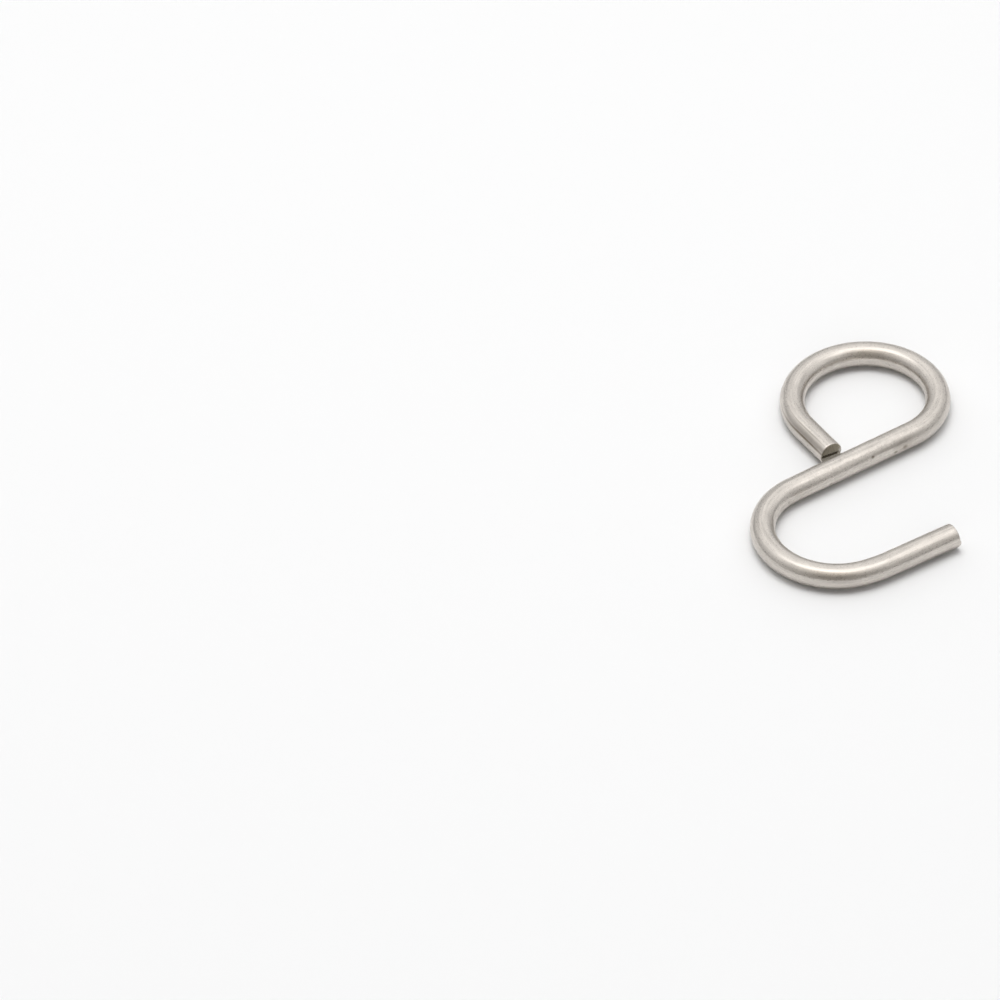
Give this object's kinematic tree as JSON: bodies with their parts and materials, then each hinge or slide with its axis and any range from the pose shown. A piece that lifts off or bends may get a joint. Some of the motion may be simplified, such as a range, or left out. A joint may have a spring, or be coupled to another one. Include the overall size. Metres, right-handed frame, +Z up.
{
  "type": "s hook",
  "caption": "S hook bent from round steel wire: a nearly closed eye at one end, an open hook with a straight tail at the other, to hang one thing from another.",
  "frame": {"origin": "middle of the bounding box's bottom face, on the surface that the hook lies on", "axes": "+Z up, out of the flat side that the hook lies on; +Y along the load line from the open hook to the eye; +X towards the tail's tip"},
  "size_m": [0.0422, 0.0728, 0.005],
  "materials": {
    "wire": "bare stainless wire with a fine-grained tumbled satin finish, slightly warm grey, darker sheared faces at both cut ends"
  },
  "bodies": {
    "root": {"s_hook": "wire"}
  },
  "joints": []
}
